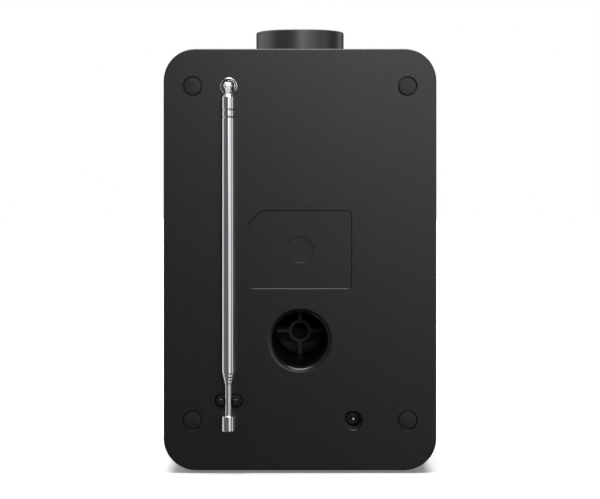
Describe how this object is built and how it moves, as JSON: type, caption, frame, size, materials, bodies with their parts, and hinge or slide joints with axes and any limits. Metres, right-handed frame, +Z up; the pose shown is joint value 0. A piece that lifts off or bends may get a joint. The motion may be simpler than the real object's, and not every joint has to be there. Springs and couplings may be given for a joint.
{
  "type": "tabletop radio",
  "caption": "Upright tabletop radio with a push-and-turn top knob, front grille and buttons, rear bass port, DC inlet and folding telescopic antenna.",
  "frame": {"origin": "on the surface that the radio stands on, on the base pad, under the middle of the cabinet", "axes": "+Z up, the front with its grille faces -Y, the rear face with the antenna is at +Y"},
  "size_m": [0.136, 0.1206, 0.2245],
  "materials": {
    "cabinet_plastic": "fine satin-matte moulded texture",
    "rubber": "matte moulded rubber",
    "seal_foam": "matte foam",
    "screw_steel": "zinc-plated satin",
    "black_plastic": "satin",
    "fascia_plastic": "satin",
    "button_plastic": "satin",
    "knob_metal": "dark anodised satin",
    "antenna_chrome": "polished",
    "contact_metal": "polished nickel",
    "stamped_steel": "satin",
    "basket_enamel": "black satin enamel",
    "magnet_ferrite": "dull ferrite",
    "cone_paper": "pressed paper",
    "surround_rubber": "soft satin rubber",
    "grille_fabric": "woven acoustic cloth",
    "window_gloss": "polished dark acrylic",
    "circuit_board": "solder resist"
  },
  "bodies": {
    "cabinet": {"front_housing": "cabinet_plastic", "rear_cover": "cabinet_plastic", "cabinet_seal": "seal_foam", "base_pad": "rubber", "screw_plug_1": "rubber", "screw_plug_2": "rubber", "screw_plug_3": "rubber", "screw_plug_4": "rubber", "housing_screw_1": "screw_steel", "housing_screw_2": "screw_steel", "housing_screw_3": "screw_steel", "housing_screw_4": "screw_steel", "port_tube": "black_plastic", "dc_jack_body": "black_plastic", "dc_jack_pin": "contact_metal", "jack_board": "circuit_board", "antenna_bezel": "antenna_chrome", "antenna_clip": "black_plastic", "encoder_body": "stamped_steel", "encoder_nut": "screw_steel", "encoder_board": "circuit_board", "control_fascia": "fascia_plastic", "display_window": "window_gloss", "display_module": "black_plastic", "control_board": "circuit_board", "grille_frame": "black_plastic", "grille_cloth": "grille_fabric", "speaker_basket": "basket_enamel", "speaker_magnet": "magnet_ferrite", "speaker_surround": "surround_rubber", "speaker_gasket": "seal_foam", "speaker_screw_1": "screw_steel", "speaker_screw_2": "screw_steel", "speaker_screw_3": "screw_steel", "speaker_screw_4": "screw_steel", "main_board": "circuit_board", "tuner_shield": "stamped_steel"},
    "antenna_mount": {"antenna_swivel": "antenna_chrome", "antenna_hinge_pin": "screw_steel", "antenna_nut": "screw_steel"},
    "antenna_arm": {"antenna_knuckle": "antenna_chrome", "antenna_tube_1": "antenna_chrome"},
    "antenna_section_2": {"antenna_tube_2": "antenna_chrome"},
    "antenna_section_3": {"antenna_tube_3": "antenna_chrome"},
    "antenna_section_4": {"antenna_tube_4": "antenna_chrome"},
    "antenna_end": {"antenna_rod": "antenna_chrome", "antenna_tip": "antenna_chrome"},
    "push_stem": {"encoder_plunger": "screw_steel"},
    "knob": {"knob_shell": "knob_metal", "knob_core": "black_plastic", "encoder_shaft": "screw_steel"},
    "speaker_moving": {"speaker_cone": "cone_paper", "speaker_dust_cap": "cone_paper"},
    "power_button": {"button_power": "button_plastic"},
    "source_button": {"button_source": "button_plastic"},
    "menu_button": {"button_menu": "button_plastic"},
    "preset_button": {"button_preset": "button_plastic"},
    "back_button": {"button_back": "button_plastic"},
    "select_button": {"button_select": "button_plastic"}
  },
  "joints": [
    {"name": "antenna_swivel_turn", "type": "hinge", "parent": "cabinet", "child": "antenna_mount", "pos_m": [0.0355, 0.056, 0.1928], "axis": [0, 1, 0], "continuous": true, "deforming": ["antenna_clip"]},
    {"name": "antenna_tilt", "type": "hinge", "parent": "antenna_mount", "child": "antenna_arm", "pos_m": [0.0355, 0.061, 0.1928], "axis": [1, 0, 0], "range_deg": [0, 90]},
    {"name": "antenna_slide_2", "type": "slide", "parent": "antenna_arm", "child": "antenna_section_2", "axis": [0, 0, -1], "range_m": [0, 0.11], "deforming": ["antenna_clip"]},
    {"name": "antenna_slide_3", "type": "slide", "parent": "antenna_section_2", "child": "antenna_section_3", "axis": [0, 0, -1], "range_m": [0, 0.11], "deforming": ["antenna_clip"]},
    {"name": "antenna_slide_4", "type": "slide", "parent": "antenna_section_3", "child": "antenna_section_4", "axis": [0, 0, -1], "range_m": [0, 0.11]},
    {"name": "antenna_slide_rod", "type": "slide", "parent": "antenna_section_4", "child": "antenna_end", "axis": [0, 0, -1], "range_m": [0, 0.11]},
    {"name": "knob_push", "type": "slide", "parent": "cabinet", "child": "push_stem", "axis": [0, 0, -1], "range_m": [0, 0.0006], "stiffness_N_per_m": 2000, "springref_m": -0.0005},
    {"name": "knob_turn", "type": "hinge", "parent": "push_stem", "child": "knob", "pos_m": [0, 0, 0.2125], "axis": [0, 0, 1], "continuous": true},
    {"name": "speaker_cone_travel", "type": "slide", "parent": "cabinet", "child": "speaker_moving", "axis": [0, -1, 0], "range_m": [-0.001, 0.001], "stiffness_N_per_m": 1500, "deforming": ["speaker_surround"]},
    {"name": "power_press", "type": "slide", "parent": "cabinet", "child": "power_button", "axis": [0, 1, 0], "range_m": [0, 0.0005], "stiffness_N_per_m": 600, "springref_m": -0.0005},
    {"name": "source_press", "type": "slide", "parent": "cabinet", "child": "source_button", "axis": [0, 1, 0], "range_m": [0, 0.0005], "stiffness_N_per_m": 600, "springref_m": -0.0005},
    {"name": "menu_press", "type": "slide", "parent": "cabinet", "child": "menu_button", "axis": [0, 1, 0], "range_m": [0, 0.0005], "stiffness_N_per_m": 600, "springref_m": -0.0005},
    {"name": "preset_press", "type": "slide", "parent": "cabinet", "child": "preset_button", "axis": [0, 1, 0], "range_m": [0, 0.0005], "stiffness_N_per_m": 600, "springref_m": -0.0005},
    {"name": "back_press", "type": "slide", "parent": "cabinet", "child": "back_button", "axis": [0, 1, 0], "range_m": [0, 0.0005], "stiffness_N_per_m": 600, "springref_m": -0.0005},
    {"name": "select_press", "type": "slide", "parent": "cabinet", "child": "select_button", "axis": [0, 1, 0], "range_m": [0, 0.0005], "stiffness_N_per_m": 600, "springref_m": -0.0005}
  ]
}
